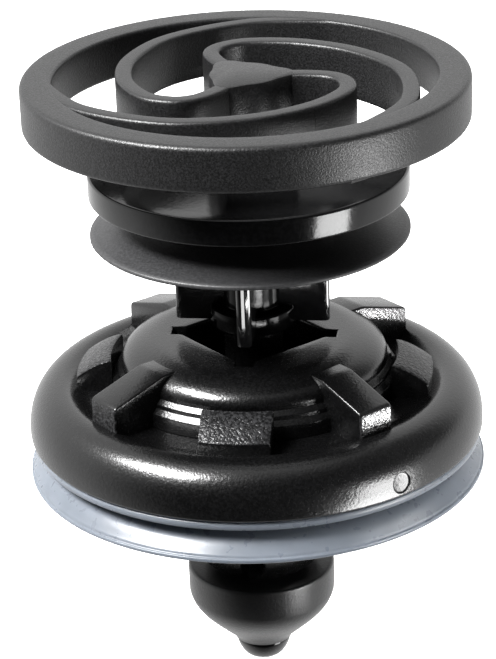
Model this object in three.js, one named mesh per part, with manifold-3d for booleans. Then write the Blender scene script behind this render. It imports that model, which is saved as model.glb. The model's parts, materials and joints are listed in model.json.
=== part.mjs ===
// Push-in retaining clip for a trim panel, with a sealing ring. Millimetres, +Z towards the head.
// The origin is the centre of the sheet's hole, on the face that the seal lies on.
// Three mouldings: the base (dome, flange, ribs, lugs, legs), the soft seal under it, and the pin,
// which carries the nose below and the floating head ring above.
import * as THREE from "three";
import { mergeVertices } from "three/addons/utils/BufferGeometryUtils.js";
import Module from "manifold-3d";

const wasm = await Module();
wasm.setup();

// Clearances
const TOUCH = 0.03; // between two features of one moulding
const RUN = 0.05; // between parts that move past each other

// Turn of the cross-shaped features about Z: fins, star slots and lugs lie on it, ribs and legs between
const CROSS_TURN = THREE.MathUtils.degToRad(-7.5);
const QUARTER = Math.PI / 2;
const EIGHTH = Math.PI / 4;

// Head ring
const RING_OUTER_R = 10;
const RING_INNER_R = 8.55;
const RING_TOP_Z = 18.83;
const RING_BOTTOM_Z = 16.81;
const RING_EDGE_R = 0.16;

// Spiral arms: turn (degrees, clockwise from above) against radius of the wall's centreline
const ARM_COUNT = 3;
const ARM_WALL = 0.74;
const ARM_HEIGHT = 2.3;
const ARM_SPIRAL = [
  [0, 1.3],
  [2, 2.7],
  [7, 3.85],
  [17, 4.6],
  [33, 5.05],
  [60, 5.35],
  [90, 5.95],
  [120, 6.95],
  [150, 8.05],
  [172, 8.75],
  [184, 9.1],
];
const ARM_END_TURN = 175;

// Hub that the arms spring from
const HUB_R = 1.62;
const HUB_LOBE = 0.6;

// Collar and skirt
const COLLAR_R = 7.25;
const COLLAR_TOP_Z = 14.6;
const COLLAR_BOTTOM_Z = 13.4;
const COLLAR_EDGE_R = 0.12;
const SKIRT_RIM_R = 7.27;
const SKIRT_RIM_Z = 11.6;
const SKIRT_RIM_WALL = 0.18;
const SKIRT_NECK_R = 3.4;
const SKIRT_ROOT_Z = 12.2;
const SKIRT_UNDER_Z = 11.75;
const SKIRT_FILLET = 0.5; // where the neck meets the umbrella
const SKIRT_DROOP_R = 5.5; // where the umbrella starts to droop

// Shank
const CORE_R = 1.28;
const CORE_BOTTOM_Z = 6.9;
const CORE_EDGE_R = 0.12;
const DISC_R = 1.95;
const DISC_TOP_Z = 7.85;
const FIN_R = 3.55;
const FIN_WALL = 0.68;
const FIN_END_R = 0.28;
const FIN_BOTTOM_Z = 7.1;
const NECK_R = 1.35;
const WEDGE_R = 1.85;
const WEDGE_TOP_Z = 2.2;
const WEDGE_FULL_Z = 0.9;
const WEDGE_BOTTOM_Z = -0.9;
const WEDGE_BACK = 0.7; // height of the cone above the wedge
const STEM_R = 1.2;
const WEB_R = 2.3;

// Nose
const NOSE_R = 3.5;
const NOSE_TOP_Z = -5.45;
const NOSE_END_Z = -9.5;
const NOSE_EDGE_R = 0.15;
const NOSE_CYLINDER = 1.25; // height of the bulb's straight side
const NOSE_CURVE = [NOSE_R, -7.5, 2.75, -8.1, 2.2, -8.65]; // bezier from the side into the cone
const NOSE_WAIST = [1.55, -9.3, 1.4, NOSE_END_Z]; // quadratic curve on to the tip
const TIP_END_Z = -10.6;
const TIP_TOP_R = 1.32;
const TIP_FLAT_R = 0.55;
const TIP_CURVE = [0.95, TIP_END_Z, 1.12, -10.15];

// Base: floor plate, rolled flange and dome
const FLOOR_BOTTOM_Z = 1.95;
const FLOOR_TOP_Z = 2.95;
const BORE_R = 2.45;
const FLANGE_R = 10.55;
const ROLL_TOP_R = 8.95;
const ROLL_TOP_Z = 4.32;
const FLANGE_EDGE = 0.12;
const ROLL_OUTER_PULLS = [FLANGE_R, 3.3, 9.95, ROLL_TOP_Z]; // bezier pulls, outside and inside the roll
const ROLL_INNER_PULLS = [8.5, ROLL_TOP_Z, 8.2, 3.9];
const VALLEY_R = 7.7;
const VALLEY_Z = 3.9;
const DOME_R = 6.15;
const DOME_FOOT_R = 6.6;
const DOME_STEPS = [
  [DOME_FOOT_R, 4.56],
  [6.37, 4.79],
  [6.36, 4.96],
  [DOME_R, 5.17],
];
const DOME_TOP_Z = 6.35;
const DOME_SHOULDER_Z = 5.3;
const DOME_CROWN_R = 4.3; // the flat top ends here
const DOME_PULL_R = 5.35;
const DOME_PULL_Z = 5.85;
const DOME_WALL = 1.1;
const STAR_TIP_R = 3.8;
const STAR_SLOT = 0.88;
const STAR_BORE_R = 2.6;
const STAR_FLARE_R = 3.0; // the slots' sides start to flare into the bore here

// Ribs and lugs on the base
const RIB_WIDTH = 1.8;
const RIB_END_R = 8.6;
const RIB_END_TOP_Z = 5.4;
const RIB_ROOT_R = 4.6;
const RIB_BEND_R = 5.9;
const RIB_RISE = 0.8; // from the end's top up to the bend
const RIB_EDGE_R = 0.3;
const FOOT_Z = 3.25; // ribs and lugs are cut to the ground from here up
const LUG_WIDTH = 3.2;
const LUG_INNER_R = 6.63;
const LUG_OUTER_R = 8.27;
const LUG_INNER_TOP_Z = 5.44;
const LUG_OUTER_TOP_Z = 4.58;
const LUG_BOW = [7.6, 5.2]; // pull of the bowed top

// Seal
const SEAL_RIM_R = 10.62;
const SEAL_SEAT_R = 10.15;
const SEAL_INNER_R = 7.6;
const SEAL_BEAD_R = 10.45;
const SEAL_BEAD_EDGE = 0.28;
const SEAL_BEAD_BOTTOM_Z = 1.48;
const SEAL_NECK_R = 9.35;
const SEAL_NECK_TOP_Z = 1.42;
const SEAL_NECK_BOTTOM_Z = 1.1;
const SEAL_LIP_PULL = [10.1, 0.8];
const SEAL_RIM_WALL = 0.2;
const SEAL_UNDER_R = 8.85;
const SEAL_UNDER_PULL_R = 9.65;
const SEAL_UNDER_Z = 0.8;
const SEAL_TOP_Z = 1.9;

// Legs that the wedge spreads
const LEG_TOP_Z = 1.85;
const LEG_BOTTOM_Z = -5.1;
const LEG_ROOT_R = 3.25;
const LEG_BULGE_R = 3.45;
const LEG_TIP_R = 2.75;
const LEG_BORE_R = 2.05;
const LEG_GRIP_R = 1.45;
const LEG_BORE_END_Z = -1.0; // the bore narrows from here
const LEG_GRIP_Z = -2.6; // down to the grip
const LEG_BULGE_TOP_Z = -1.7;
const LEG_BULGE_END_Z = -3.7;
const LEG_SLOT = 1.2;

const ROUND = 72; // segments of the large turned pieces
const SMALL_ROUND = 48; // segments of the small ones
const CURVE_STEPS = 5; // points along each curved stretch of an outline

// A closed solid from any geometry: shared vertices merged, collapsed triangles dropped, faces outward.
function solidOf(geometry) {
  const bare = geometry.index ? geometry.toNonIndexed() : geometry.clone();
  bare.deleteAttribute("normal");
  bare.deleteAttribute("uv");
  const merged = mergeVertices(bare, 1e-4);
  const kept = [];
  for (let i = 0; i < merged.index.count; i += 3) {
    const [a, b, c] = [0, 1, 2].map((k) => merged.index.getX(i + k));
    if (a !== b && b !== c && c !== a) kept.push(a, b, c);
  }
  const build = (triVerts) =>
    new wasm.Manifold(
      new wasm.Mesh({
        numProp: 3,
        vertProperties: new Float32Array(merged.attributes.position.array),
        triVerts: new Uint32Array(triVerts),
      }),
    );
  const solid = build(kept);
  return solid.volume() > 0 ? solid : build(kept.reverse());
}

// Back to a three.js geometry, with one normal per face corner.
function geometryOf(solid) {
  const mesh = solid.getMesh();
  const indexed = new THREE.BufferGeometry();
  indexed.setAttribute("position", new THREE.BufferAttribute(mesh.vertProperties, 3));
  indexed.setIndex(new THREE.BufferAttribute(mesh.triVerts, 1));
  const flat = indexed.toNonIndexed();
  flat.computeVertexNormals();
  return flat;
}

// An outline (x = radius, y = height) turned about Z. It starts and ends on the axis, or is closed.
function turned(outline, segments = ROUND) {
  return solidOf(new THREE.LatheGeometry(outline, segments).rotateX(QUARTER));
}

// A flat outline raised from z = low to z = high.
function raised(outline, low, high) {
  const depth = high - low;
  const body = new THREE.ExtrudeGeometry(new THREE.Shape(outline), { depth, bevelEnabled: false });
  return solidOf(body.translate(0, 0, low));
}

// A box given by its lowest and highest corners, turned about Z.
function block(low, high, turn = 0) {
  const [dx, dy, dz] = high.map((h, i) => h - low[i]);
  const box = new THREE.BoxGeometry(dx, dy, dz);
  box.translate(low[0] + dx / 2, low[1] + dy / 2, low[2] + dz / 2);
  return solidOf(box.rotateZ(turn));
}

// The annulus or disc from one radius to another, used as a cutter.
function washer(inner, outer, low, high, segments = ROUND) {
  const corners = [
    [inner, low],
    [outer, low],
    [outer, high],
    [inner, high],
    [inner, low],
  ];
  return turned(corners.map(points2), segments);
}

function points2([x, y]) {
  return new THREE.Vector2(x, y);
}

function polar(radius, turn) {
  return new THREE.Vector2(radius * Math.cos(turn), radius * Math.sin(turn));
}

// A closed path's points, its first point repeated at the end.
function closedPoints(path, divisions) {
  const points = path.getPoints(divisions);
  if (points[0].distanceTo(points.at(-1)) > 1e-6) points.push(points[0].clone());
  return points;
}

const blackNylon = { color: 0x1b1b1e, roughness: 0.45, metalness: 0 };
const headNylon = { color: 0x2a2a2d, roughness: 0.62, metalness: 0 };
const skirtNylon = { color: 0x26262a, roughness: 0.7, metalness: 0 };
const collarNylon = { color: 0x17171a, roughness: 0.22, metalness: 0 };
const softSeal = { color: 0x98a2ad, roughness: 0.35, metalness: 0 };

const clip = new THREE.Group();

function addPiece(group, name, solid, look) {
  const piece = new THREE.Mesh(geometryOf(solid), new THREE.MeshStandardMaterial(look));
  piece.name = name;
  group.add(piece);
  return piece;
}

// ---------------------------------------------------------------- head ring and its spiral arms

function headRing() {
  const e = RING_EDGE_R;
  const path = new THREE.Path();
  path.moveTo(RING_INNER_R, RING_BOTTOM_Z + e);
  path.quadraticCurveTo(RING_INNER_R, RING_BOTTOM_Z, RING_INNER_R + e, RING_BOTTOM_Z);
  path.lineTo(RING_OUTER_R - e, RING_BOTTOM_Z);
  path.quadraticCurveTo(RING_OUTER_R, RING_BOTTOM_Z, RING_OUTER_R, RING_BOTTOM_Z + e);
  path.lineTo(RING_OUTER_R, RING_TOP_Z - e);
  path.quadraticCurveTo(RING_OUTER_R, RING_TOP_Z, RING_OUTER_R - e, RING_TOP_Z);
  path.lineTo(RING_INNER_R + e, RING_TOP_Z);
  path.quadraticCurveTo(RING_INNER_R, RING_TOP_Z, RING_INNER_R, RING_TOP_Z - e);
  path.lineTo(RING_INNER_R, RING_BOTTOM_Z + e);
  return turned(closedPoints(path, 3));
}

// Three-lobed hub: a lobe stands out where each arm leaves.
function hubOutline(grow) {
  const steps = 72;
  return Array.from({ length: steps }, (_, i) => {
    const turn = (i / steps) * 2 * Math.PI;
    const lobe = HUB_LOBE * ((1 + Math.cos(ARM_COUNT * turn)) / 2) ** 3;
    return polar(HUB_R + lobe + grow, turn);
  });
}

function hubSolid(grow = 0) {
  return raised(hubOutline(grow), COLLAR_TOP_Z + TOUCH, RING_TOP_Z);
}

// One wall that curls outward, clockwise from above, from the hub to the inside of the ring.
function springArm(startTurn) {
  const centreline = new THREE.SplineCurve(
    ARM_SPIRAL.map(([turn, radius]) => polar(radius, -THREE.MathUtils.degToRad(turn))),
  );
  const steps = 72;
  const left = [];
  const right = [];
  for (let i = 0; i <= steps; i++) {
    const point = centreline.getPoint(i / steps);
    const along = centreline.getTangent(i / steps);
    const across = new THREE.Vector2(-along.y, along.x).multiplyScalar(ARM_WALL / 2);
    left.push(point.clone().add(across));
    right.push(point.clone().sub(across));
  }
  const low = RING_TOP_Z - ARM_HEIGHT;
  const wall = raised([...left, ...right.reverse()], low, RING_TOP_Z);
  const endCut = THREE.MathUtils.degToRad(-ARM_END_TURN);
  const arm = wall
    .subtract(washer(RING_INNER_R - TOUCH, RING_OUTER_R + 2, low - 1, RING_TOP_Z + 1))
    .subtract(block([0, -3, low - 1], [RING_OUTER_R + 2, 0, RING_TOP_Z + 1], endCut));
  return solidOf(geometryOf(arm).rotateZ(startTurn)).subtract(hubSolid(TOUCH));
}

addPiece(clip, "head_ring", headRing(), headNylon);
for (let i = 0; i < ARM_COUNT; i++) {
  const startTurn = (i * 2 * Math.PI) / ARM_COUNT;
  addPiece(clip, `spring_arm_${i + 1}`, springArm(startTurn), headNylon);
}

// ---------------------------------------------------------------- pin: hub, collar, skirt, shank, nose

const pin = new THREE.Group();
clip.add(pin);

function collar() {
  const e = COLLAR_EDGE_R;
  const path = new THREE.Path();
  path.moveTo(0, COLLAR_BOTTOM_Z);
  path.lineTo(COLLAR_R - e, COLLAR_BOTTOM_Z);
  path.quadraticCurveTo(COLLAR_R, COLLAR_BOTTOM_Z, COLLAR_R, COLLAR_BOTTOM_Z + e);
  path.lineTo(COLLAR_R, COLLAR_TOP_Z - e);
  path.quadraticCurveTo(COLLAR_R, COLLAR_TOP_Z, COLLAR_R - e, COLLAR_TOP_Z);
  path.lineTo(0, COLLAR_TOP_Z);
  return turned(path.getPoints(3));
}

// A short neck under the collar and a thin umbrella that droops to its rim.
function skirt() {
  const top = COLLAR_BOTTOM_Z - TOUCH;
  const path = new THREE.Path();
  path.moveTo(0, SKIRT_UNDER_Z);
  path.lineTo(SKIRT_NECK_R, SKIRT_UNDER_Z);
  path.quadraticCurveTo(SKIRT_DROOP_R, SKIRT_UNDER_Z, SKIRT_RIM_R, SKIRT_RIM_Z - SKIRT_RIM_WALL);
  path.lineTo(SKIRT_RIM_R, SKIRT_RIM_Z);
  path.quadraticCurveTo(SKIRT_DROOP_R, SKIRT_ROOT_Z, SKIRT_NECK_R + SKIRT_FILLET, SKIRT_ROOT_Z);
  path.quadraticCurveTo(SKIRT_NECK_R, SKIRT_ROOT_Z, SKIRT_NECK_R, SKIRT_ROOT_Z + SKIRT_FILLET);
  path.lineTo(SKIRT_NECK_R, top);
  path.lineTo(0, top);
  return turned(path.getPoints(CURVE_STEPS));
}

// A disc at the foot and a narrower post above it, grown all round by grow.
function shankCore(grow = 0) {
  const e = CORE_EDGE_R;
  const disc = DISC_R + grow;
  const low = CORE_BOTTOM_Z - grow;
  const step = DISC_TOP_Z + grow;
  const top = SKIRT_UNDER_Z - TOUCH + grow;
  const path = new THREE.Path();
  path.moveTo(0, low);
  path.lineTo(disc - e, low);
  path.quadraticCurveTo(disc, low, disc, low + e);
  path.lineTo(disc, step - e);
  path.quadraticCurveTo(disc, step, disc - e, step);
  path.lineTo(CORE_R + grow, step);
  path.lineTo(CORE_R + grow, top);
  path.lineTo(0, top);
  return turned(path.getPoints(CURVE_STEPS), SMALL_ROUND);
}

// A plate from the core out to a rounded end.
function fin(turn) {
  const half = FIN_WALL / 2;
  const e = FIN_END_R;
  const path = new THREE.Path();
  path.moveTo(0, -half);
  path.lineTo(FIN_R - e, -half);
  path.quadraticCurveTo(FIN_R, -half, FIN_R, e - half);
  path.lineTo(FIN_R, half - e);
  path.quadraticCurveTo(FIN_R, half, FIN_R - e, half);
  path.lineTo(0, half);
  const centre = new THREE.Vector2();
  const outline = path.getPoints(CURVE_STEPS).map((p) => p.rotateAround(centre, turn));
  return raised(outline, FIN_BOTTOM_Z, SKIRT_UNDER_Z - TOUCH).subtract(shankCore(TOUCH));
}

// The narrow neck, the wedge that spreads the legs, and the cross-shaped stem between the legs.
function wedgeShank() {
  const top = CORE_BOTTOM_Z - TOUCH;
  const bottom = NOSE_TOP_Z + TOUCH;
  const outline = [
    [0, bottom],
    [STEM_R, bottom],
    [STEM_R, WEDGE_BOTTOM_Z],
    [WEDGE_R, WEDGE_FULL_Z],
    [WEDGE_R, WEDGE_TOP_Z],
    [NECK_R, WEDGE_TOP_Z + WEDGE_BACK],
    [NECK_R, top],
    [0, top],
  ];
  let shank = turned(outline.map(points2), SMALL_ROUND);
  for (const side of [0, 1]) {
    const low = [-WEB_R, -FIN_WALL / 2, bottom];
    const high = [WEB_R, FIN_WALL / 2, WEDGE_FULL_Z];
    shank = shank.add(block(low, high, CROSS_TURN + side * QUARTER));
  }
  return shank;
}

function noseBulb() {
  const path = new THREE.Path();
  path.moveTo(0, NOSE_TOP_Z);
  path.lineTo(NOSE_R - NOSE_EDGE_R, NOSE_TOP_Z);
  path.quadraticCurveTo(NOSE_R, NOSE_TOP_Z, NOSE_R, NOSE_TOP_Z - NOSE_EDGE_R);
  path.lineTo(NOSE_R, NOSE_TOP_Z - NOSE_CYLINDER);
  path.bezierCurveTo(...NOSE_CURVE);
  path.quadraticCurveTo(...NOSE_WAIST);
  path.lineTo(0, NOSE_END_Z);
  return turned(path.getPoints(CURVE_STEPS));
}

function noseTip() {
  const top = NOSE_END_Z - TOUCH;
  const path = new THREE.Path();
  path.moveTo(0, TIP_END_Z);
  path.lineTo(TIP_FLAT_R, TIP_END_Z);
  path.quadraticCurveTo(...TIP_CURVE);
  path.lineTo(TIP_TOP_R, top);
  path.lineTo(0, top);
  return turned(path.getPoints(CURVE_STEPS), SMALL_ROUND);
}

addPiece(pin, "hub_post", hubSolid(), headNylon);
addPiece(pin, "collar", collar(), collarNylon);
addPiece(pin, "skirt", skirt(), skirtNylon);
addPiece(pin, "shank_core", shankCore(), collarNylon);
for (let i = 0; i < 4; i++) {
  addPiece(pin, `fin_${i + 1}`, fin(CROSS_TURN + i * QUARTER), collarNylon);
}
addPiece(pin, "wedge_shank", wedgeShank(), blackNylon);
addPiece(pin, "nose_bulb", noseBulb(), blackNylon);
addPiece(pin, "nose_tip", noseTip(), collarNylon);

// ---------------------------------------------------------------- base: flange, dome, ribs and lugs

const base = new THREE.Group();
clip.add(base);

// Floor plate with the bore, then the valley and the rolled rim outside the dome.
function flangeSolid() {
  const path = new THREE.Path();
  path.moveTo(BORE_R, FLOOR_BOTTOM_Z);
  path.lineTo(FLANGE_R - FLANGE_EDGE, FLOOR_BOTTOM_Z);
  path.lineTo(FLANGE_R, FLOOR_BOTTOM_Z + FLANGE_EDGE);
  path.bezierCurveTo(...ROLL_OUTER_PULLS, ROLL_TOP_R, ROLL_TOP_Z);
  path.bezierCurveTo(...ROLL_INNER_PULLS, VALLEY_R, VALLEY_Z);
  path.lineTo(DOME_FOOT_R + RUN, VALLEY_Z);
  path.lineTo(DOME_FOOT_R + RUN, FLOOR_TOP_Z);
  path.lineTo(BORE_R, FLOOR_TOP_Z);
  path.lineTo(BORE_R, FLOOR_BOTTOM_Z);
  return turned(closedPoints(path, CURVE_STEPS));
}

// The star: a round bore with four square-ended slots for the fins, their sides flaring into it.
function starOutline() {
  const half = STAR_SLOT / 2;
  const centre = new THREE.Vector2();
  const bore = [30, 45, 60].map((turn) => polar(STAR_BORE_R, THREE.MathUtils.degToRad(turn)));
  const slot = [
    [STAR_FLARE_R, -half],
    [STAR_TIP_R, -half],
    [STAR_TIP_R, half],
    [STAR_FLARE_R, half],
  ].map(points2);
  const quarter = [...slot, ...bore];
  return [0, 1, 2, 3].flatMap((i) => {
    const turn = CROSS_TURN + i * QUARTER;
    return quarter.map((p) => p.clone().rotateAround(centre, turn));
  });
}

// The dome's side and crown from the floor up, moved inward by shrink.
function domeOutline(shrink) {
  const path = new THREE.Path();
  const top = DOME_TOP_Z - shrink;
  path.moveTo(DOME_FOOT_R - shrink, FLOOR_TOP_Z + TOUCH);
  for (const [radius, z] of DOME_STEPS) path.lineTo(radius - shrink, z);
  path.lineTo(DOME_R - shrink, DOME_SHOULDER_Z - Math.max(shrink, 0) / 2);
  path.bezierCurveTo(
    DOME_R - shrink,
    DOME_PULL_Z - shrink / 2,
    DOME_PULL_R - shrink,
    top,
    DOME_CROWN_R - shrink,
    top,
  );
  return path.getPoints(CURVE_STEPS);
}

// A cap open below, with the star cut through its top.
function domeSolid() {
  const outer = domeOutline(0);
  const inner = domeOutline(DOME_WALL);
  const axisTop = new THREE.Vector2(0, DOME_TOP_Z);
  const axisUnder = new THREE.Vector2(0, DOME_TOP_Z - DOME_WALL);
  const shell = turned([axisUnder, ...inner.reverse(), ...outer, axisTop]);
  return shell.subtract(raised(starOutline(), FLOOR_TOP_Z, DOME_TOP_Z + 1));
}

// Ground that the ribs and lugs stand on: everything the flange and dome fill, grown by a touch gap.
function groundSolid() {
  const low = new THREE.Vector2(0, FLOOR_TOP_Z);
  const high = new THREE.Vector2(0, DOME_TOP_Z + TOUCH);
  const filled = flangeSolid().add(turned([low, ...domeOutline(-TOUCH), high]));
  const up = filled.translate([0, 0, TOUCH]);
  const down = filled.translate([0, 0, -TOUCH]);
  return filled.add(up).add(down);
}

const ground = groundSolid();

// A flat (radius, z) shape given width along the tangent, turned about Z and cut to the ground.
function radialBar(shape, width, turn) {
  const options = { depth: width, bevelEnabled: false, curveSegments: CURVE_STEPS };
  const bar = new THREE.ExtrudeGeometry(shape, options);
  bar.translate(0, 0, -width / 2);
  bar.rotateX(QUARTER);
  return solidOf(bar.rotateZ(turn)).subtract(ground);
}

// A bar from the dome's shoulder out to the rolled rim, its top sloping down outward.
function longRib(turn) {
  const e = RIB_EDGE_R;
  const high = RIB_END_TOP_Z + RIB_RISE;
  const shape = new THREE.Shape();
  shape.moveTo(RIB_ROOT_R, FOOT_Z);
  shape.lineTo(RIB_END_R, FOOT_Z);
  shape.lineTo(RIB_END_R, RIB_END_TOP_Z - e);
  shape.quadraticCurveTo(RIB_END_R, RIB_END_TOP_Z, RIB_END_R - e, RIB_END_TOP_Z + e / 3);
  shape.lineTo(RIB_BEND_R, high);
  shape.lineTo(RIB_ROOT_R, high);
  return radialBar(shape, RIB_WIDTH, turn);
}

// A tab in the valley beside the dome: a top that bows down outward, an end on a circle.
function shortLug(turn) {
  const reach = LUG_OUTER_R + 0.2;
  const shape = new THREE.Shape();
  shape.moveTo(LUG_INNER_R, FOOT_Z);
  shape.lineTo(reach, FOOT_Z);
  shape.lineTo(reach, LUG_OUTER_TOP_Z);
  shape.lineTo(LUG_OUTER_R, LUG_OUTER_TOP_Z);
  shape.quadraticCurveTo(...LUG_BOW, LUG_INNER_R, LUG_INNER_TOP_Z);
  const trim = washer(LUG_OUTER_R, LUG_OUTER_R + 2, FOOT_Z - 1, LUG_INNER_TOP_Z + 1);
  return radialBar(shape, LUG_WIDTH, turn).subtract(trim);
}

addPiece(base, "flange", flangeSolid(), blackNylon);
addPiece(base, "dome", domeSolid(), blackNylon);
for (let i = 0; i < 4; i++) {
  addPiece(base, `long_rib_${i + 1}`, longRib(CROSS_TURN + EIGHTH + i * QUARTER), blackNylon);
  addPiece(base, `short_lug_${i + 1}`, shortLug(CROSS_TURN + i * QUARTER), blackNylon);
}

// ---------------------------------------------------------------- seal under the flange

// A bead against the flange, a groove, and a lip that flares down to the flat seat.
function sealRing() {
  const beadSide = SEAL_BEAD_R - SEAL_BEAD_EDGE;
  const beadMiddle = (SEAL_TOP_Z + SEAL_BEAD_BOTTOM_Z) / 2;
  const path = new THREE.Path();
  path.moveTo(SEAL_INNER_R, SEAL_UNDER_Z);
  path.lineTo(SEAL_INNER_R, SEAL_TOP_Z);
  path.lineTo(beadSide, SEAL_TOP_Z);
  path.quadraticCurveTo(SEAL_BEAD_R, SEAL_TOP_Z, SEAL_BEAD_R, beadMiddle);
  path.quadraticCurveTo(SEAL_BEAD_R, SEAL_BEAD_BOTTOM_Z, beadSide, SEAL_BEAD_BOTTOM_Z);
  path.lineTo(SEAL_NECK_R, SEAL_NECK_TOP_Z);
  path.lineTo(SEAL_NECK_R, SEAL_NECK_BOTTOM_Z);
  path.quadraticCurveTo(...SEAL_LIP_PULL, SEAL_RIM_R, SEAL_RIM_WALL);
  path.lineTo(SEAL_RIM_R, 0);
  path.lineTo(SEAL_SEAT_R, 0);
  path.quadraticCurveTo(SEAL_UNDER_PULL_R, SEAL_UNDER_Z, SEAL_UNDER_R, SEAL_UNDER_Z);
  path.lineTo(SEAL_INNER_R, SEAL_UNDER_Z);
  return turned(closedPoints(path, CURVE_STEPS - 1));
}

addPiece(base, "seal_ring", sealRing(), softSeal);

// ---------------------------------------------------------------- legs under the base

function legRingSolid() {
  const outline = [
    [LEG_BORE_R, LEG_TOP_Z],
    [LEG_BORE_R, LEG_BORE_END_Z],
    [LEG_GRIP_R, LEG_GRIP_Z],
    [LEG_GRIP_R, LEG_BOTTOM_Z],
    [LEG_TIP_R, LEG_BOTTOM_Z],
    [LEG_BULGE_R, LEG_BULGE_END_Z],
    [LEG_BULGE_R, LEG_BULGE_TOP_Z],
    [LEG_ROOT_R, LEG_BORE_END_Z],
    [LEG_ROOT_R, LEG_TOP_Z],
    [LEG_BORE_R, LEG_TOP_Z],
  ];
  return turned(outline.map(points2));
}

function leg(turn) {
  const reach = 2 * LEG_BULGE_R;
  const low = [LEG_SLOT / 2, LEG_SLOT / 2, LEG_BOTTOM_Z - 1];
  return legRingSolid().intersect(block(low, [reach, reach, LEG_TOP_Z + 1], turn));
}

const legs = new THREE.Group();
clip.add(legs);
for (let i = 0; i < 4; i++) {
  addPiece(legs, `leg_${i + 1}`, leg(CROSS_TURN + i * QUARTER), blackNylon);
}

export default clip;
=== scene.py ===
import json
import math

import bmesh
import bpy
from mathutils import Matrix, Vector

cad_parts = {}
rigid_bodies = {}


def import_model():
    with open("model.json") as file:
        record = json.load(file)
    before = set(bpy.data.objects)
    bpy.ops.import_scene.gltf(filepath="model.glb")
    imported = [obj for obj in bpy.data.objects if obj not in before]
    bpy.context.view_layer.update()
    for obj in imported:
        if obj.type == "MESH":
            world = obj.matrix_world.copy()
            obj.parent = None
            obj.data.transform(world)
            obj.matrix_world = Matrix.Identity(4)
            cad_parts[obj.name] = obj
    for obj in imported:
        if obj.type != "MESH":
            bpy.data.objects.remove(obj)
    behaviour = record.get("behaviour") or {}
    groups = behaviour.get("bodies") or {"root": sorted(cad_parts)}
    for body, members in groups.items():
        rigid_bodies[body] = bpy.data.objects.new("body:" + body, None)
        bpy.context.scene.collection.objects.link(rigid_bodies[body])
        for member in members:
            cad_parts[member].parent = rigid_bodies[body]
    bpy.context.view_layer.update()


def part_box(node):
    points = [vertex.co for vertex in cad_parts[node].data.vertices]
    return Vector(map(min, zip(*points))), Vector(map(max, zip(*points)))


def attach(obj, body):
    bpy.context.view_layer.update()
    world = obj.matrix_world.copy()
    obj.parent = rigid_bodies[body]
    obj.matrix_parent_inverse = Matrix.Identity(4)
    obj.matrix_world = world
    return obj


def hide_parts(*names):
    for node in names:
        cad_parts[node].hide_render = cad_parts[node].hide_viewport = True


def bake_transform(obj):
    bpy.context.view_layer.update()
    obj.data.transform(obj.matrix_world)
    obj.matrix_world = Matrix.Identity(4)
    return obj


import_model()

# A push-in trim panel clip: head ring on spiral arms, pin, domed base, soft seal.
# Lengths below are in millimetres in the row frame; MM turns them into metres.
MM = 0.001
ROUND = 224  # columns of the large turned pieces
BASE_ROUND = 288  # columns of the flange and the seal
SMALL_ROUND = 120  # columns of the small ones
QUARTER = math.pi / 2

# The turn of the cross-shaped features, as in the CAD: fins, star slots and lugs lie on it
CROSS_TURN = math.radians(-7.5)
PLATE_HALF = 0.34  # half the wall of the fins and webs


def span(node):
    """A CAD node's outer radius and its lowest and highest z, in millimetres."""
    low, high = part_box(node)
    return max(high.x, -low.x, high.y, -low.y) / MM, low.z / MM, high.z / MM


RING_R, RING_LOW, RING_TOP = span("head_ring")
COLLAR_R, COLLAR_LOW, COLLAR_TOP = span("collar")
SKIRT_R, SKIRT_LOW, SKIRT_TOP = span("skirt")
CORE_R, CORE_LOW, CORE_TOP = span("shank_core")
NOSE_R, NOSE_END, NOSE_TOP = span("nose_bulb")
TIP_END, TIP_TOP = span("nose_tip")[1:]
SHANK_LOW, SHANK_TOP = span("wedge_shank")[1:]
FLANGE_R, FLANGE_LOW, FLANGE_TOP = span("flange")
DOME_R, DOME_LOW, DOME_TOP = span("dome")
SEAL_R, SEAL_LOW, SEAL_TOP = span("seal_ring")
LEG_LOW, LEG_TOP = span("leg_1")[1:]
FIN_LOW, FIN_TOP = span("fin_1")[1:]


# ---------------------------------------------------------------- outlines


def rounded(corners, closed=True, steps=5):
    """Corners (x, y, radius) as a list of points, each corner turned on its radius."""
    points = []
    count = len(corners)
    for i, (x, y, radius) in enumerate(corners):
        corner = Vector((x, y))
        ends = not closed and i in (0, count - 1)
        if radius <= 0 or ends:
            points.append(corner)
            continue
        before = Vector(corners[i - 1][:2]) - corner
        after = Vector(corners[(i + 1) % count][:2]) - corner
        angle = before.angle(after)
        reach = min(radius / math.tan(angle / 2), before.length * 0.49, after.length * 0.49)
        start = corner + before.normalized() * reach
        end = corner + after.normalized() * reach
        for k in range(steps + 1):
            t = k / steps
            points.append(start * (1 - t) ** 2 + corner * 2 * t * (1 - t) + end * t ** 2)
    return points


def bezier(p0, p1, p2, p3, steps):
    """Points along a cubic curve, its start left out."""
    a, b, c, d = Vector(p0), Vector(p1), Vector(p2), Vector(p3)
    made = []
    for k in range(1, steps + 1):
        t = k / steps
        s = 1 - t
        made.append(a * s ** 3 + b * 3 * s * s * t + c * 3 * s * t * t + d * t ** 3)
    return made


def dense(points, step, closed=True):
    """The same outline with no stretch longer than step."""
    made = []
    count = len(points)
    for i in range(count if closed else count - 1):
        a, b = points[i], points[(i + 1) % count]
        parts = max(1, math.ceil((b - a).length / step))
        made += [a.lerp(b, k / parts) for k in range(parts)]
    return made if closed else made + [points[-1]]


def polar(radius, turn):
    return Vector((radius * math.cos(turn), radius * math.sin(turn)))


# ---------------------------------------------------------------- meshes


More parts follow.
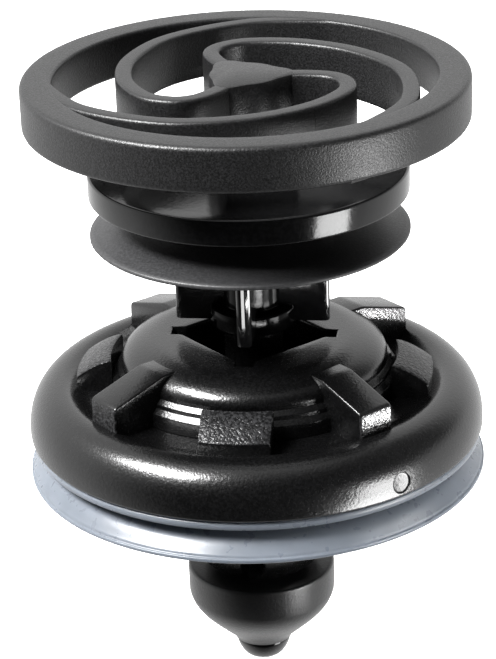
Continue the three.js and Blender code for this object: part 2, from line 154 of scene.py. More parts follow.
def mesh_object(name, points, faces, sharp=40):
    """A smooth-shaded object from points in millimetres, its faces turned outward."""
    mesh = bpy.data.meshes.new(name)
    mesh.from_pydata([tuple(c * MM for c in p) for p in points], [], faces)
    work = bmesh.new()
    work.from_mesh(mesh)
    bmesh.ops.remove_doubles(work, verts=work.verts, dist=1e-7)
    bmesh.ops.recalc_face_normals(work, faces=work.faces)
    work.to_mesh(mesh)
    work.free()
    return smooth_object(name, mesh, sharp)


def smooth_object(name, mesh, sharp=40):
    mesh.polygons.foreach_set("use_smooth", [True] * len(mesh.polygons))
    mesh.set_sharp_from_angle(angle=math.radians(sharp))
    made = bpy.data.objects.new(name, mesh)
    bpy.context.collection.objects.link(made)
    return made


def skin(name, outlines, closed=False, sharp=40):
    """Joins closed outlines in order; the run closes on itself, or else its two ends are capped."""
    rows = len(outlines[0])
    count = len(outlines)
    faces = []
    for i in range(count if closed else count - 1):
        a, b = i * rows, ((i + 1) % count) * rows
        for j in range(rows):
            k = (j + 1) % rows
            faces.append((a + j, b + j, b + k, a + k))
    if not closed:
        faces.append(tuple(range(rows)))
        faces.append(tuple((count - 1) * rows + j for j in range(rows)))
    return mesh_object(name, [p for outline in outlines for p in outline], faces, sharp)


def turned(name, outline, columns=ROUND, sharp=40):
    """An outline (radius, z) turned about Z; it may start and end on the axis."""
    points, faces = [], []
    for i in range(columns):
        turn = 2 * math.pi * i / columns
        for p in outline:
            points.append((p.x * math.cos(turn), p.x * math.sin(turn), p.y))
    rows = len(outline)
    closed = outline[0].x > 1e-6
    for i in range(columns):
        a, b = i * rows, ((i + 1) % columns) * rows
        for j in range(rows if closed else rows - 1):
            k = (j + 1) % rows
            if outline[j].x < 1e-6:
                faces.append((a + j, b + k, a + k))
            elif outline[k].x < 1e-6:
                faces.append((a + j, b + j, a + k))
            else:
                faces.append((a + j, b + j, b + k, a + k))
    return mesh_object(name, points, faces, sharp)


def prism(name, outline, low, high, place=None, bevel=0.1, steps=3):
    """A flat outline raised from low to high, its edges bevelled, then placed by a matrix."""
    work = bmesh.new()
    ring = [work.verts.new((p.x, p.y, low)) for p in outline]
    base = work.faces.new(ring)
    raised = bmesh.ops.extrude_face_region(work, geom=[base])
    top = [v for v in raised["geom"] if isinstance(v, bmesh.types.BMVert)]
    bmesh.ops.translate(work, verts=top, vec=(0, 0, high - low))
    bmesh.ops.recalc_face_normals(work, faces=work.faces)
    sharp = [e for e in work.edges if e.calc_face_angle(0) > math.radians(28)]
    bmesh.ops.bevel(work, geom=sharp, offset=bevel, segments=steps, profile=0.5, affect="EDGES")
    matrix = Matrix.Scale(MM, 4) @ (place or Matrix.Identity(4))
    bmesh.ops.transform(work, matrix=matrix, verts=work.verts)
    mesh = bpy.data.meshes.new(name)
    work.to_mesh(mesh)
    work.free()
    return smooth_object(name, mesh, 50)


def standing(turn):
    """Places a prism drawn in (radius, z) upright on a radial plane at a turn about Z."""
    return Matrix.Rotation(turn, 4, "Z") @ Matrix.Rotation(QUARTER, 4, "X")


def cut(piece, cutter, operation="DIFFERENCE"):
    """Applies an exact boolean and removes the cutter."""
    modifier = piece.modifiers.new("cut", "BOOLEAN")
    modifier.operation = operation
    modifier.solver = "EXACT"
    modifier.object = cutter
    graph = bpy.context.evaluated_depsgraph_get()
    mesh = bpy.data.meshes.new_from_object(piece.evaluated_get(graph))
    piece.modifiers.clear()
    old = piece.data
    piece.data = mesh
    bpy.data.meshes.remove(old)
    bpy.data.objects.remove(cutter)
    mesh.polygons.foreach_set("use_smooth", [True] * len(mesh.polygons))
    mesh.set_sharp_from_angle(angle=math.radians(40))
    return piece


# ---------------------------------------------------------------- materials


class Nodes:
    """Short calls for a material's node tree."""

    def __init__(self, name):
        self.material = bpy.data.materials.new(name)
        self.material.use_nodes = True
        self.tree = self.material.node_tree
        self.shader = self.tree.nodes["Principled BSDF"]
        self.place = self.add("ShaderNodeTexCoord").outputs["Object"]

    def add(self, kind, **values):
        node = self.tree.nodes.new(kind)
        for key, value in values.items():
            if hasattr(node, key):
                setattr(node, key, value)
            else:
                node.inputs[key.replace("_", " ")].default_value = value
        return node

    def link(self, output, target):
        self.tree.links.new(output, target)

    def noise(self, size_mm, detail=2.0, roughness=0.5):
        """Noise from 0 to 1 whose grains are about size_mm across."""
        node = self.add("ShaderNodeTexNoise", Scale=1 / (size_mm * MM), Detail=detail, Roughness=roughness)
        self.link(self.place, node.inputs["Vector"])
        return node.outputs["Fac"]

    def range(self, value, low, high, to_low, to_high):
        node = self.add("ShaderNodeMapRange")
        for slot, number in zip(("From Min", "From Max", "To Min", "To Max"), (low, high, to_low, to_high)):
            node.inputs[slot].default_value = number
        self.link(value, node.inputs["Value"])
        return node.outputs["Result"]

    def mix(self, factor, a, b):
        node = self.add("ShaderNodeMix", data_type="RGBA")
        self.link(factor, node.inputs["Factor"])
        node.inputs[6].default_value = (*a, 1)
        node.inputs[7].default_value = (*b, 1)
        return node.outputs[2]

    def bump(self, layers):
        """Stacks (height, strength, depth in mm) layers into the shader's normal."""
        normal = None
        for height, strength, depth in layers:
            node = self.add("ShaderNodeBump", Strength=strength, Distance=depth * MM)
            self.link(height, node.inputs["Height"])
            if normal is not None:
                self.link(normal, node.inputs["Normal"])
            normal = node.outputs["Normal"]
        self.link(normal, self.shader.inputs["Normal"])


def moulded(name, shades, rough, grain, wave_depth=0.004, specular=0.5):
    """Moulded black plastic: fine grain over slow flow unevenness, and a slightly uneven shine.

    shades are its darkest and lightest greys, rough its roughness from and to, and grain the
    grains' size and depth in millimetres.
    """
    size, depth = grain
    dark, light = [(grey, grey, grey * 1.05) for grey in shades]
    n = Nodes(name)
    coarse = n.noise(size, 1.0)
    fine = n.noise(size * 0.55, 1.0)
    flow = n.noise(2.2, 1.0)
    n.link(n.mix(n.range(coarse, 0.4, 0.65, 0, 1), dark, light), n.shader.inputs["Base Color"])
    n.link(n.range(fine, 0.3, 0.7, *rough), n.shader.inputs["Roughness"])
    n.shader.inputs["Specular IOR Level"].default_value = specular
    n.bump([(flow, 0.5, wave_depth), (coarse, 1.0, depth), (fine, 0.8, depth * 0.5)])
    return n.material


def elastomer(name, dark, light):
    """Soft translucent grey-blue seal: milky body, faint flow bands, slightly tacky gloss."""
    n = Nodes(name)
    cloud = n.noise(1.3, 3.0, 0.55)
    fine = n.noise(0.5)
    n.link(n.mix(n.range(cloud, 0.3, 0.7, 0, 1), dark, light), n.shader.inputs["Base Color"])
    n.link(n.range(fine, 0.3, 0.7, 0.26, 0.34), n.shader.inputs["Roughness"])
    n.shader.inputs["Subsurface Weight"].default_value = 0.35
    n.shader.inputs["Subsurface Radius"].default_value = (0.9, 1.0, 1.1)
    n.shader.inputs["Subsurface Scale"].default_value = 0.0008
    n.shader.inputs["IOR"].default_value = 1.48
    n.bump([(cloud, 0.3, 0.008), (fine, 0.3, 0.001)])
    return n.material


HEAD = moulded("head_plastic", (0.002, 0.009), (0.34, 0.5), (0.09, 0.013), specular=0.44)
GLOSS = moulded("shank_plastic", (0.002, 0.0032), (0.06, 0.1), (0.3, 0.001))
# Painted shade: the core's greys are darker than those of the fins' plastic from the same moulding, with a
# low specular level, so that the core and its disc stay dark.
CORE = moulded("core_plastic_painted_shade", (0.001, 0.0016), (0.1, 0.16), (0.2, 0.001), 0.002, 0.08)
COLLAR = moulded("collar_plastic", (0.003, 0.005), (0.12, 0.17), (0.2, 0.002), specular=0.34)
# Painted sheen: the skirt's greys are raised well above the pin's other black plastic, so that the colour
# stands in for the light its thin umbrella catches at its sides.
SKIRT = moulded("skirt_plastic", (0.016, 0.026), (0.42, 0.55), (0.12, 0.006))
BASE = moulded("base_plastic", (0.0012, 0.0028), (0.2, 0.28), (0.13, 0.008))
NOSE = moulded("nose_plastic", (0.002, 0.005), (0.32, 0.42), (0.13, 0.008))
ETCHED = moulded("etched_plastic", (0.004, 0.02), (0.22, 0.36), (0.14, 0.05), specular=0.24)
SEAL = elastomer("seal_rubber", (0.096, 0.109, 0.127), (0.114, 0.127, 0.148))


def etch(piece, chosen):
    """Gives the faces that chosen(centre in mm, normal) picks the spark-eroded texture."""
    piece.data.materials.append(ETCHED)
    for face in piece.data.polygons:
        face.material_index = int(chosen(face.center / MM, face.normal))


def finish_piece(piece, body, slot, material, *nodes, ends=None):
    """Gives a piece its material and hides the CAD nodes it stands for; with no ends it joins its body,
    with ends only its transform is baked.
    """
    piece.data.materials.clear()
    piece.data.materials.append(material)
    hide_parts(*nodes)
    if ends is None:
        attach(piece, body)
    else:
        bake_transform(piece)
    return piece


# ---------------------------------------------------------------- head ring


def head_ring():
    inner = 8.55
    outline = rounded(
        [
            (inner, RING_LOW, 0.2),
            (RING_R, RING_LOW, 0.22),
            (RING_R, RING_TOP, 0.26),
            (inner, RING_TOP, 0.16),
        ]
    )
    ring = turned("head_ring_band", dense(outline, 0.5), ROUND)
    finish_piece(ring, "head_ring", "head_plastic", HEAD, "head_ring")


# ---------------------------------------------------------------- spiral arms and hub

ARM_COUNT = 3
ARM_WALL = 0.78
ARM_DROP = 0.015  # the arms' top lies this far under the ring's
ARM_HEIGHT = 2.3
ARM_SPIRAL = [
    (0, 1.3),
    (2, 2.7),
    (7, 3.85),
    (17, 4.6),
    (33, 5.05),
    (60, 5.35),
    (90, 5.95),
    (120, 6.95),
    (150, 8.05),
    (172, 8.75),
    (184, 9.1),
]


def spline(knots, steps):
    """A smooth Catmull-Rom curve through points, evenly spaced in its parameter."""
    made = []
    last = len(knots) - 1
    for i in range(steps + 1):
        place = i / steps * last
        k = min(int(place), last - 1)
        t = place - k
        p0 = knots[k - 1] if k > 0 else knots[k]
        p1, p2 = knots[k], knots[k + 1]
        p3 = knots[k + 2] if k + 2 <= last else knots[k + 1]
        v1, v2 = (p2 - p0) * 0.5, (p3 - p1) * 0.5
        cubic = (p1 - p2) * 2 + v1 + v2
        square = (p2 - p1) * 3 - v1 * 2 - v2
        made.append(cubic * t ** 3 + square * t ** 2 + v1 * t + p1)
    return made


def arm_section():
    """The wall's outline, (across, z), rounded at its top and bottom edges."""
    half = ARM_WALL / 2
    top = RING_TOP - ARM_DROP
    low = RING_TOP - ARM_HEIGHT
    corners = [(-half, low, 0.14), (half, low, 0.14), (half, top, 0.17), (-half, top, 0.17)]
    return dense(rounded(corners, steps=4), 0.4)


def wall_along(name, path, section):
    """Sweeps the section along a flat path, with plain end caps."""
    outlines = []
    for i, p in enumerate(path):
        along = (path[min(i + 1, len(path) - 1)] - path[max(i - 1, 0)]).normalized()
        across = Vector((-along.y, along.x))
        outlines.append([(p.x + across.x * s.x, p.y + across.y * s.x, s.y) for s in section])
    return skin(name, outlines)


def spring_arms():
    """Each arm is two lengths that meet at the middle of its spiral: pin to arms, arms to ring."""
    section = arm_section()
    for i in range(ARM_COUNT):
        start = 2 * math.pi * i / ARM_COUNT
        knots = [polar(radius, start - math.radians(turn)) for turn, radius in ARM_SPIRAL]
        path = spline(knots, 150)
        middle = len(path) // 2
        node = f"spring_arm_{i + 1}"
        for part, length, body in (
            ("inner", path[: middle + 1], ("pin", "float_arms")),
            ("outer", path[middle:], ("float_arms", "head_ring")),
        ):
            z = RING_TOP * MM
            ends = [(p.x * MM, p.y * MM, z) for p in (length[0], length[-1])]
            wall = wall_along(f"{node}_{part}", length, section)
            finish_piece(wall, body, "head_plastic", HEAD, node, ends=ends)


def hub_post():
    """The three-lobed island that the arms leave, on its post down to the collar."""
    steps, radius, lobe, edge = 180, 1.62, 0.62, 0.13
    outline = []
    for i in range(steps):
        turn = 2 * math.pi * i / steps
        outline.append(polar(radius + lobe * ((1 + math.cos(ARM_COUNT * turn)) / 2) ** 3, turn))
    levels = [
        (edge, RING_TOP),
        (edge * 0.3, RING_TOP - edge * 0.3),
        (0, RING_TOP - edge),
        (0, COLLAR_TOP - 0.05),
    ]
    outlines = []
    for shrink, z in levels:
        shrunk = [p * ((p.length - shrink) / p.length) for p in outline]
        outlines.append([(p.x, p.y, z) for p in shrunk])
    finish_piece(skin("hub_post_island", outlines), "pin", "head_plastic", HEAD, "hub_post")


# ---------------------------------------------------------------- pin


def collar():
    r = COLLAR_R
    corners = [(0, COLLAR_LOW, 0), (r, COLLAR_LOW, 0.1), (r, COLLAR_TOP, 0.14), (0, COLLAR_TOP, 0)]
    disc = turned("collar_disc", dense(rounded(corners, closed=False), 0.8, closed=False))
    finish_piece(disc, "pin", "shank_plastic", COLLAR, "collar")


def skirt():
    """A neck under the collar and a thin umbrella that droops to a fine rim."""
    neck, root, under, rim_wall, edge = 3.4, 12.2, 11.75, 0.17, 0.05
    fillet = neck + 0.6
    rim_r = SKIRT_R - edge
    rim = SKIRT_LOW + rim_wall
    outline = [Vector((0, SKIRT_TOP)), Vector((neck, SKIRT_TOP)), Vector((neck, root + 0.5))]
    outline += bezier((neck, root + 0.5), (neck, root + 0.1), (neck + 0.2, root), (fillet, root), 6)
    outline += bezier((fillet, root), (5.2, root - 0.06), (6.3, rim + 0.28), (rim_r, rim + 0.03), 14)
    outline += [Vector((SKIRT_R, rim - 0.03)), Vector((SKIRT_R, SKIRT_LOW + edge))]
    outline += [Vector((rim_r, SKIRT_LOW))]
    outline += bezier((rim_r, SKIRT_LOW), (6.2, SKIRT_LOW + 0.24), (5.2, under), (neck, under), 12)
    outline += [Vector((0, under))]
    finish_piece(turned("skirt_umbrella", outline), "pin", "skirt_plastic", SKIRT, "skirt")


def shank():
    """A disc at the foot, a narrower post above it, and four plates with rounded outer ends."""
    post, disc_top = 1.28, 7.85
    outline = rounded(
        [
            (0, CORE_LOW, 0),
            (CORE_R, CORE_LOW, 0.14),
            (CORE_R, disc_top, 0.14),
            (post, disc_top, 0.08),
            (post, CORE_TOP, 0),
            (0, CORE_TOP, 0),
        ],
        closed=False,
    )
    core = turned("shank_core_post", dense(outline, 0.5, closed=False), SMALL_ROUND)
    finish_piece(core, "pin", "shank_plastic", CORE, "shank_core")
    inner, reach, half, end = 1.1, 3.55, PLATE_HALF, 0.28
    corners = [(inner, -half, 0), (reach, -half, end), (reach, half, end), (inner, half, 0)]
    for i in range(4):
        place = Matrix.Rotation(CROSS_TURN + i * QUARTER, 4, "Z")
        outline = dense(rounded(corners, steps=8), 0.3)
        fin = prism(f"fin_blade_{i + 1}", outline, FIN_LOW, FIN_TOP, place, bevel=0.05)
        finish_piece(fin, "pin", "shank_plastic", GLOSS, f"fin_{i + 1}")


def wedge_shank():
    """The hidden neck, the wedge that spreads the legs, and the cross-shaped stem."""
    stem, wedge, neck, web_reach, full = 1.2, 1.85, 1.35, 2.3, 0.9
    corners = [
        (0, SHANK_LOW, 0),
        (stem, SHANK_LOW, 0.1),
        (stem, -0.9, 0.3),
        (wedge, full, 0.3),
        (wedge, 2.2, 0.2),
        (neck, 2.9, 0.3),
        (neck, SHANK_TOP, 0.1),
        (0, SHANK_TOP, 0),
    ]
    shaft = turned("wedge_stem", dense(rounded(corners, closed=False), 0.6, closed=False), SMALL_ROUND)
    ends = ((-web_reach, SHANK_LOW), (web_reach, SHANK_LOW), (web_reach, full), (-web_reach, full))
    web = [Vector(p) for p in ends]
    for side in (0, 1):
        place = standing(CROSS_TURN + side * QUARTER)
        cut(shaft, prism("web", web, -PLATE_HALF, PLATE_HALF, place, bevel=0.06), "UNION")
    finish_piece(shaft, "pin", "base_plastic", BASE, "wedge_shank")


def nose():
    """A bulb with a straight side and a cone below it, and a stub at its end."""
    cone_r, cone_z, end_r, edge = 2.2, -8.65, 1.4, NOSE_R - 0.18
    r, top = NOSE_R, NOSE_TOP
    outline = [Vector((0, top)), Vector((edge, top))]
    outline += bezier((edge, top), (r - 0.04, top), (r, top - 0.06), (r, top - 0.2), 5)
    outline += [Vector((r, top - 0.7))]
    outline += bezier((r, top - 1.25), (r, -7.5), (2.75, -8.1), (cone_r, cone_z), 14)
    outline += bezier((cone_r, cone_z), (1.85, -9.0), (1.5, -9.25), (end_r, NOSE_END), 6)
    outline += [Vector((0, NOSE_END))]
    bulb = turned("nose_bulb_solid", outline, SMALL_ROUND)
    finish_piece(bulb, "pin", "base_plastic", NOSE, "nose_bulb")

    stub, bend, flat = (1.32, TIP_TOP - 0.05), (1.05, -10.3), (0.5, TIP_END)
    outline = [Vector((0, TIP_TOP)), Vector((1.3, TIP_TOP)), Vector(stub)]
    outline += bezier(stub, (1.27, -9.9), (1.18, -10.1), bend, 6)
    outline += bezier(bend, (0.92, -10.5), (0.75, TIP_END), flat, 7)
    outline += [Vector((0, TIP_END))]
    tip = turned("nose_tip_stub", outline, SMALL_ROUND)
    finish_piece(tip, "pin", "shank_plastic", GLOSS, "nose_tip")


# ---------------------------------------------------------------- base


def flange():
    """The floor plate and the rolled rim, with a valley between the roll and the dome."""
    roll_r, valley_r, valley_z, bore, floor_top = 8.95, 7.7, 3.9, 2.45, 2.95
    dome_foot = DOME_R + 0.05
    side = (FLANGE_R, FLANGE_LOW + 0.3)
    crest = (roll_r, FLANGE_TOP)
    outline = rounded([(bore, FLANGE_LOW, 0.1), (FLANGE_R, FLANGE_LOW, 0.14), (*side, 0)], closed=False)
    outline += bezier(side, (FLANGE_R, 3.35), (9.95, FLANGE_TOP), crest, 26)
    outline += bezier(crest, (8.5, FLANGE_TOP), (8.2, valley_z), (valley_r, valley_z), 18)
    outline += [Vector((dome_foot, valley_z)), Vector((dome_foot, floor_top)), Vector((bore, floor_top))]
    roll = turned("flange_roll", dense(outline, 0.7), BASE_ROUND)
    dimple(roll)
    finish_piece(roll, "base", "base_plastic", BASE, "flange")


def dimple(roll):
    """A shallow round dish on the roll's side, under the front right rib."""
    turn, radius, height, tilt = math.radians(-53.75), 10.53, 2.61, 0.122
    dish, depth, above = 0.5, 0.1, 0.4
    corners = [(0, -depth, 0), (dish, -depth, 0.12), (dish + 0.04, above, 0), (0, above, 0)]
    cutter = turned("dimple_cutter", rounded(corners, closed=False, steps=4), 40)
    way = polar(1, turn)
    out = Vector((way.x, way.y, tilt)).normalized()
    centre = Vector((radius * way.x, radius * way.y, height)) * MM
    cutter.data.transform(Matrix.Translation(centre) @ out.to_track_quat("Z", "Y").to_matrix().to_4x4())
    cut(roll, cutter)


def star_outline():
    """The opening: four square-ended slots joined by straight sides, its corners eased."""
    half, root, tip = 0.44, 3.2, 3.8
    slot = ((root, -half, 0.25), (tip, -half, 0.08), (tip, half, 0.08), (root, half, 0.25))
    corners = []
    for i in range(4):
        turn = Matrix.Rotation(CROSS_TURN + i * QUARTER, 2)
        for x, y, radius in slot:
            p = turn @ Vector((x, y))
            corners.append((p.x, p.y, radius))
    return dense(rounded(corners, steps=5), 0.16)


def dome():
    """Columns at every point of the star: up the stepped side, over the shoulder, in to the star's edge."""
    wall, waist, flat_r, edge = 1.1, 6.15, 4.3, 0.14
    step = waist + 0.22
    shoulder = (waist, 5.3)
    top = DOME_TOP
    side = rounded(
        [
            (DOME_R, DOME_LOW, 0),
            (DOME_R, 4.56, 0.1),
            (step, 4.79, 0.03),
            (step - 0.01, 4.96, 0.1),
            (waist, 5.17, 0.03),
            (*shoulder, 0),
        ],
        closed=False,
        steps=3,
    )
    side += bezier(shoulder, (waist, top - 0.55), (5.35, top), (flat_r, top), 20)
    quarters = (0.25, 0.5, 0.75, 1)
    under = top - wall
    inside = [Vector((flat_r + 0.3, under)), Vector((5.0, under - 0.4)), Vector((5.2, DOME_LOW))]
    columns = []
    for p in star_outline():
        r = p.length
        way = p / r
        column = side + [Vector((flat_r + (r + edge - flat_r) * t, top)) for t in quarters]
        for t in quarters:
            a = t * QUARTER
            column.append(Vector((r + edge - edge * math.sin(a), top - edge + edge * math.cos(a))))
        column += [Vector((r, under))] + inside
        columns.append([(way.x * v.x, way.y * v.x, v.y) for v in column])
    cap = skin("dome_cap", columns, closed=True, sharp=45)
    finish_piece(cap, "base", "base_plastic", BASE, "dome")


def long_ribs():
    """Bars from the dome's shoulder out to the roll; their tops slope down outward."""
    root, bend, end, foot, end_top, rise, half = 4.6, 5.9, 8.6, 3.5, 5.4, 0.8, 0.9
    corners = [
        (root, foot, 0),
        (end + 0.03, foot, 0),
        (end, end_top, 0.3),
        (bend, end_top + rise, 1.2),
        (root, end_top + rise, 0),
    ]
    outline = rounded(corners, steps=6)

    def end_face(centre, normal):
        return math.hypot(centre.x, centre.y) > end - 0.05 and centre.z < end_top - 0.12

    for i in range(4):
        turn = CROSS_TURN + QUARTER / 2 + i * QUARTER
        rib = prism(f"long_rib_bar_{i + 1}", outline, -half, half, standing(turn))
        finish_piece(rib, "base", "base_plastic", BASE, f"long_rib_{i + 1}")
        etch(rib, end_face)


def lug_profile(inner, outer):
    """A lug's (radius, z) outline: its top bows down outward between two eased edges."""
    foot, top, end_top = 3.5, 5.44, 4.6
    crown, brow = (inner + 0.12, top), (outer - 0.1, end_top + 0.08)
    profile = [Vector((inner, foot)), Vector((inner, top - 0.08))]
    profile += bezier((inner, top - 0.08), (inner, top - 0.01), (inner + 0.05, top + 0.01), crown, 3)
    profile += bezier(crown, (7.2, 5.33), (7.7, 5.05), brow, 10)
    profile += bezier(brow, (outer - 0.03, end_top + 0.04), (outer, end_top), (outer, end_top - 0.08), 3)
    return profile + [Vector((outer, foot))]


def short_lugs():
    """Tabs in the valley: parallel sides, ends on circles, a top that bows down outward."""
    half, edge, drop = 1.6, 0.94, 0.1
    profile = lug_profile(6.63, 8.27)
    above_foot = 4
    rows = [-1, -0.985, -0.94, -0.7, -0.4, 0, 0.4, 0.7, 0.94, 0.985, 1]
    for i in range(4):
        turn = Matrix.Rotation(CROSS_TURN + i * QUARTER, 2)
        outlines = []
        for t in rows:
            side = t * half
            over = min(1.0, max(0.0, (abs(t) - edge) / (1 - edge)))
            inset = drop * (1 - math.sqrt(1 - over * over))
            outline = []
            for p in profile:
                q = turn @ Vector((math.sqrt(p.x * p.x - side * side), side))
                outline.append((q.x, q.y, p.y - (inset if p.y > above_foot else 0)))
            outlines.append(outline)
        lug = skin(f"short_lug_block_{i + 1}", outlines)
        finish_piece(lug, "base", "base_plastic", BASE, f"short_lug_{i + 1}")
        etch(lug, lambda centre, normal: normal.z > 0.5)


def seal_ring():
    """A bead under the flange, a deep groove, and a flared lip that ends in a fine rim."""
    bead, neck, inner, seat, under = 10.45, 9.35, 7.6, 10.15, 0.8
    bead_edge, bead_middle, bead_low, groove = bead - 0.28, 1.69, 1.47, 1.24
    lip, crease, rim = (9.85, 0.92), SEAL_R - 0.13, SEAL_R - 0.06
    outline = [Vector((inner, under)), Vector((inner, SEAL_TOP)), Vector((bead_edge, SEAL_TOP))]
    outline += bezier((bead_edge, SEAL_TOP), (bead - 0.05, SEAL_TOP), (bead, 1.82), (bead, bead_middle), 7)
    outline += bezier((bead, bead_middle), (bead, 1.56), (bead - 0.05, 1.48), (bead_edge, bead_low), 7)
    outline += bezier((bead_edge, bead_low), (9.9, 1.44), (neck, 1.42), (neck, groove), 6)
    outline += bezier((neck, groove), (neck, 1.08), (9.6, 1.05), lip, 6)
    outline += bezier(lip, (10.15, 0.76), (10.3, 0.5), (crease, 0.3), 12)
    outline += bezier((crease, 0.3), (crease + 0.01, 0.24), (crease + 0.03, 0.22), (rim, 0.21), 4)
    outline += bezier((rim, 0.21), (SEAL_R, 0.2), (SEAL_R, 0.16), (SEAL_R, 0.1), 5)
    outline += bezier((SEAL_R, 0.1), (SEAL_R, 0.04), (SEAL_R - 0.03, SEAL_LOW), (SEAL_R - 0.1, SEAL_LOW), 5)
    outline += [Vector((seat, SEAL_LOW))]
    outline += bezier((seat, SEAL_LOW), (9.95, 0.4), (9.5, under), (seat - 1.3, under), 10)
    ring = turned("seal_lip_ring", outline, BASE_ROUND, sharp=60)
    finish_piece(ring, "base", "seal_rubber", SEAL, "seal_ring")


# ---------------------------------------------------------------- legs


def legs():
    """Each leg is the part of a turned ring that lies between two slots."""
    root, bulge, tip, bore, grip, slot_half = 3.25, 3.45, 2.75, 2.05, 1.45, 0.6
    corners = [
        (bore, LEG_TOP, 0.05),
        (bore, -1.0, 0.3),
        (grip, -2.6, 0.3),
        (grip, LEG_LOW, 0.1),
        (tip, LEG_LOW, 0.14),
        (bulge, -3.7, 0.5),
        (bulge, -1.7, 0.5),
        (root, -1.0, 0.4),
        (root, LEG_TOP, 0.05),
    ]
    profile = dense(rounded(corners, steps=4), 0.4)
    steps = 20
    for i in range(4):
        turn = CROSS_TURN + i * QUARTER
        outlines = []
        for k in range(steps + 1):
            outline = []
            for p in profile:
                edge = math.asin(slot_half / p.x)
                q = polar(p.x, turn + edge + (QUARTER - 2 * edge) * k / steps)
                outline.append((q.x, q.y, p.y))
            outlines.append(outline)
        leg = skin(f"leg_blade_{i + 1}", outlines)
        finish_piece(leg, f"leg_{i + 1}", "base_plastic", BASE, f"leg_{i + 1}")


# ---------------------------------------------------------------- stage, light, camera


def studio_world():
    """A pale studio: bright behind and at the left, dim towards the camera."""
    world = bpy.data.worlds.new("studio")
    bpy.context.scene.world = world
    world.use_nodes = True
    tree = world.node_tree

    def node(kind, inputs, **values):
        made = tree.nodes.new(kind)
        for key, value in values.items():
            setattr(made, key, value)
        for slot, value in inputs.items():
            if isinstance(value, bpy.types.NodeSocket):
                tree.links.new(value, made.inputs[slot])
            else:
                made.inputs[slot].default_value = value
        return made

    def ramp(value, low, high, to_low=0.0, to_high=1.0):
        made = node(
            "ShaderNodeMapRange",
            {"Value": value, "From Min": low, "From Max": high, "To Min": to_low, "To Max": to_high},
            interpolation_type="SMOOTHSTEP",
        )
        return made.outputs["Result"]

    def math_node(operation, a, b):
        return node("ShaderNodeMath", {0: a, 1: b}, operation=operation).outputs[0]

    place = tree.nodes.new("ShaderNodeTexCoord").outputs["Generated"]
    split = node("ShaderNodeSeparateXYZ", {0: place}).outputs
    x, y, z = split["X"], split["Y"], split["Z"]
    bright = ramp(y, -0.8, 0.15, 0.015, 1.3)
    shade = math_node("MULTIPLY", ramp(x, 0.15, 0.5), ramp(z, 0.0, 0.3))
    shade = math_node("MULTIPLY", shade, ramp(y, 0.3, 0.75, 0.85, 0.0))
    bright = math_node("MULTIPLY", bright, math_node("SUBTRACT", 1.0, shade))
    ray = tree.nodes.new("ShaderNodeLightPath").outputs["Is Camera Ray"]
    strength = node("ShaderNodeMix", {0: ray, 2: bright, 3: 1.0}, data_type="FLOAT").outputs[0]
    tree.links.new(strength, tree.nodes["Background"].inputs["Strength"])
    tree.nodes["Background"].inputs["Color"].default_value = (1, 1, 1, 1)


def soft_box(name, place, target, size, power, only=None):
    """A rectangular light aimed at a point, left out of the picture; it may light only some pieces."""
    light = bpy.data.lights.new(name, "AREA")
    light.shape = "RECTANGLE"
    light.size, light.size_y = size[0] * MM, size[1] * MM
    light.energy = power
    lamp = bpy.data.objects.new(name, light)
    lamp.location = Vector(place) * MM
    lamp.rotation_euler = (Vector(target) - Vector(place)).to_track_quat("-Z", "Y").to_euler()
    lamp.visible_camera = False
    bpy.context.collection.objects.link(lamp)
    if only is not None:
        lit = bpy.data.collections.new(f"{name}_lit")
        for piece in list(bpy.context.scene.objects):
            if piece.name.startswith(only):
                lit.objects.link(piece)
        lamp.light_linking.receiver_collection = lit


def white_floor():
    """A glowing white ground that only the camera sees, so that it lights and mirrors in nothing."""
    reach = 3.0
    z = (TIP_END - 4.3) * MM  # clear of the tip when the pin is pushed in
    mesh = bpy.data.meshes.new("floor")
    corners = [(-reach, -reach, z), (reach, -reach, z), (reach, reach, z), (-reach, reach, z)]
    mesh.from_pydata(corners, [], [(0, 1, 2, 3)])
    floor = bpy.data.objects.new("floor", mesh)
    bpy.context.collection.objects.link(floor)
    pale = bpy.data.materials.new("floor_pale")
    pale.use_nodes = True
    shader = pale.node_tree.nodes["Principled BSDF"]
    shader.inputs["Base Color"].default_value = (0.9, 0.9, 0.9, 1)
    shader.inputs["Roughness"].default_value = 0.9
    shader.inputs["Emission Color"].default_value = (1, 1, 1, 1)
    shader.inputs["Emission Strength"].default_value = 0.75
    mesh.materials.append(pale)
    floor.visible_glossy = False
    floor.visible_diffuse = False
    floor.visible_shadow = False
    floor.visible_transmission = False


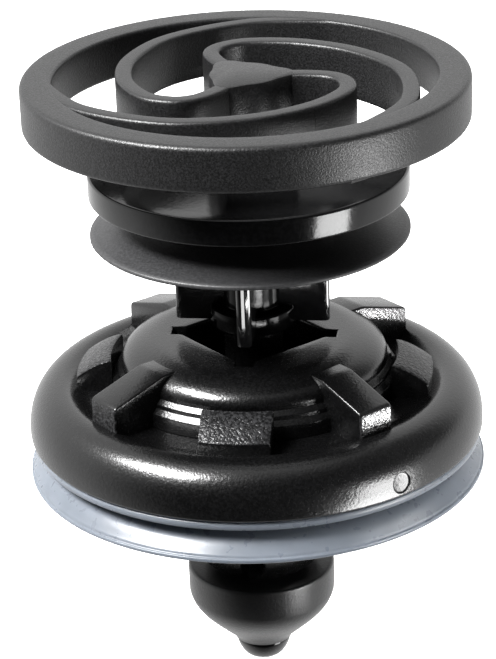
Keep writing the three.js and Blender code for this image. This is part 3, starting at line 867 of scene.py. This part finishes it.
def lights():
    """A large key, two windows at the right, and small cards for single reflections."""
    soft_box("key_left", (-150, -75, 195), (0, 0, 5), (140, 66), 2.6)
    soft_box("window_high", (50, -33, -5), (3, -5, 15), (26, 19), 0.033)
    soft_box("window_low", (50, -33, -30), (5, -8, 0), (34, 26), 0.066, ("flange_roll",))
    soft_box("core_card", (11.7, -27.3, -2.95), (0.4, -2, 8.6), (17, 1), 0.006, ("shank_core", "fin_blade"))
    soft_box("fin_card", (-7.2, -28.6, -3.4), (-0.5, -3.5, 9), (5, 9), 0.0024, ("fin_blade",))
    soft_box("fin_side_card", (30, -8, -4), (3.5, -0.5, 9), (22, 12), 0.02, ("fin_blade",))
    soft_box("nose_card", (50, -33, -30), (3, -2, -7), (26, 26), 0.02, ("nose", "leg_blade"))
    soft_box("rib_card", (58, -15.5, -20), (6, -6, 4.8), (22, 14), 0.27, ("long_rib",))
    soft_box("seal_card", (90, -30, 40), (8, -5, 0.5), (60, 60), 0.07, ("seal_lip",))


def camera():
    """The photograph's viewpoint, fitted to the clip's circles."""
    lens = bpy.data.cameras.new("camera")
    lens.sensor_width = 36
    lens.lens = 137.55
    lens.clip_start, lens.clip_end = 0.005, 10
    view = bpy.data.objects.new("camera", lens)
    bpy.context.collection.objects.link(view)
    pitch, roll = math.radians(23.47), math.radians(-1.97)
    right = Vector((1, 0, 0))
    ahead = Vector((0, math.cos(pitch), -math.sin(pitch)))
    up = Vector((0, math.sin(pitch), math.cos(pitch)))
    x = right * math.cos(roll) + up * math.sin(roll)
    y = up * math.cos(roll) - right * math.sin(roll)
    turn = Matrix((x, y, -ahead)).transposed()
    view.matrix_world = Matrix.Translation(Vector((-0.26, -106.49, 52.71)) * MM) @ turn.to_4x4()
    bpy.context.scene.camera = view


bpy.context.scene.view_settings.view_transform = "Standard"
camera()
head_ring()
spring_arms()
hub_post()
collar()
skirt()
shank()
wedge_shank()
nose()
flange()
dome()
long_ribs()
short_lugs()
seal_ring()
legs()
white_floor()
studio_world()
lights()
